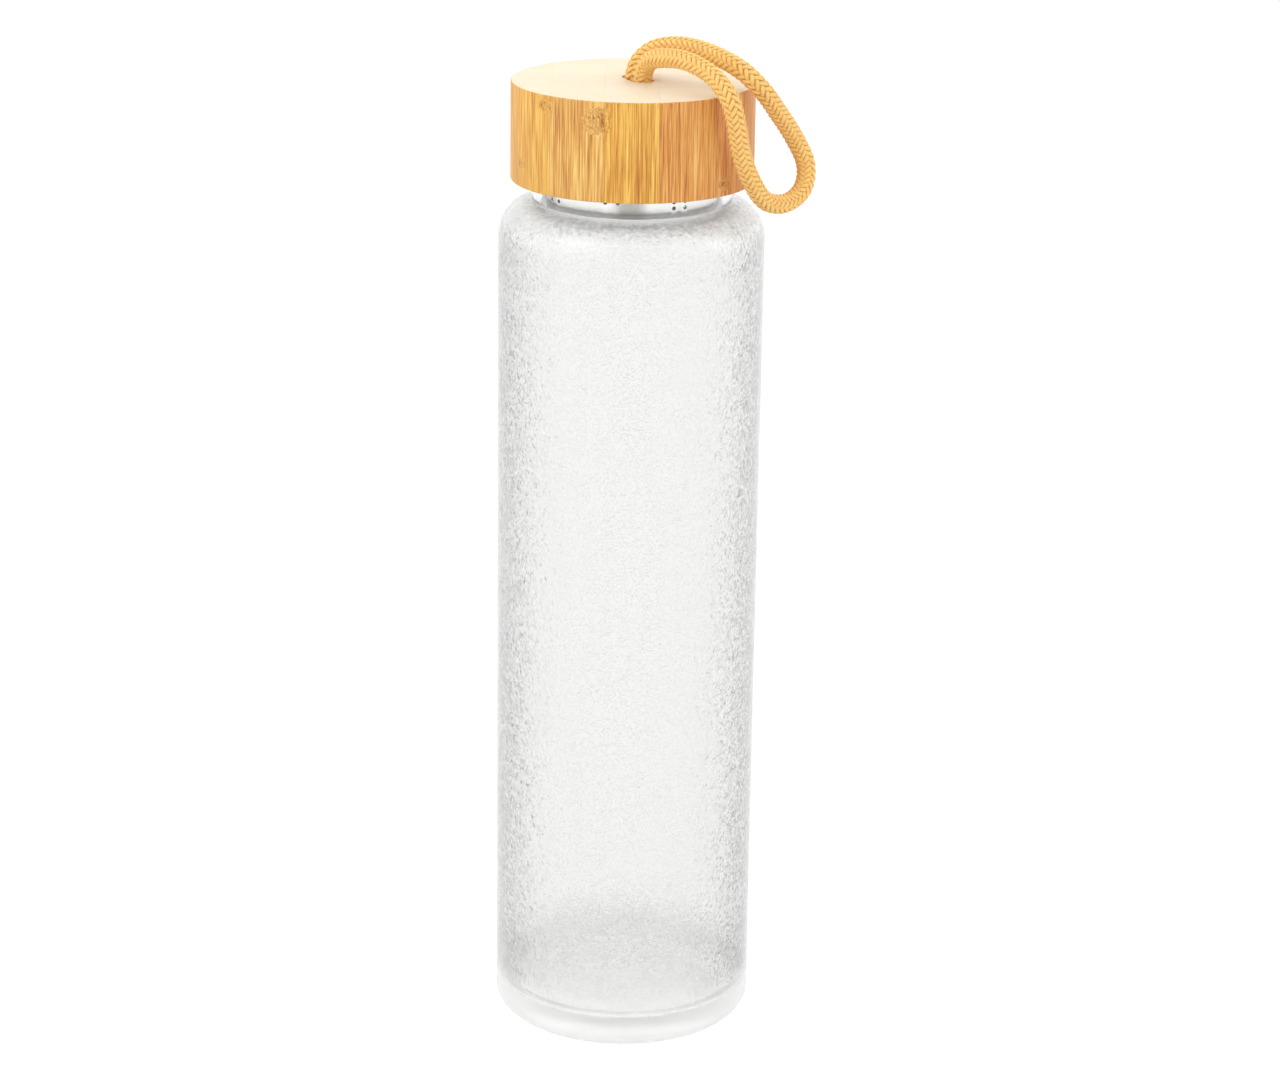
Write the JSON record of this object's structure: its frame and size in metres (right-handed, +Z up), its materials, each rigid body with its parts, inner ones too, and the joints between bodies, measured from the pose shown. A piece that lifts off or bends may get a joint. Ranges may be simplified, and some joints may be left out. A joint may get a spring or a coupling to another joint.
{
  "type": "glass water bottle",
  "caption": "Straight frosted glass water bottle with a screw-on bamboo lid, a steel neck strainer and a braided carrying loop.",
  "frame": {"origin": "centre of the standing ring, on the surface that the bottle stands on", "axes": "+Z up the bottle's axis; +Y away from the viewer; the cord loop hangs over the lid towards +X and -Y"},
  "size_m": [0.0766, 0.065, 0.252],
  "materials": {
    "frosted_glass": "frosted crackle below the neck, clear neck",
    "bamboo": "satin oiled, laminated strips",
    "natural_plastic": "natural moulded polypropylene",
    "white_silicone": "matt silicone",
    "brushed_steel": "brushed round the axis",
    "clear_silicone": "translucent silicone",
    "mustard_cotton": "round braid"
  },
  "bodies": {
    "bottle": {"glass_bottle": "frosted_glass"},
    "seal": {"lid_gasket": "white_silicone"},
    "lid": {"bamboo_lid": "bamboo", "thread_insert": "natural_plastic", "cord_loop": "mustard_cotton", "cord_knot": "mustard_cotton"},
    "strainer": {"strainer_basket": "brushed_steel", "strainer_collar": "clear_silicone"}
  },
  "joints": [
    {"name": "lid_rise", "type": "slide", "parent": "bottle", "child": "seal", "axis": [0, 0, 1], "range_m": [0, 0.026]},
    {"name": "lid_turn", "type": "hinge", "parent": "seal", "child": "lid", "pos_m": [0, 0, 0.2172], "axis": [0, 0, 1], "range_deg": [0, 1170]},
    {"name": "strainer_lift", "type": "slide", "parent": "bottle", "child": "strainer", "axis": [0, 0, 1], "range_m": [0, 0.014]}
  ],
  "couplings": [
    {"joint": "lid_rise", "follows": "lid_turn", "m_per_rad": 0.0012732},
    {"joint": "strainer_lift", "follows": "lid_turn", "m_per_rad": 0.00068559}
  ]
}
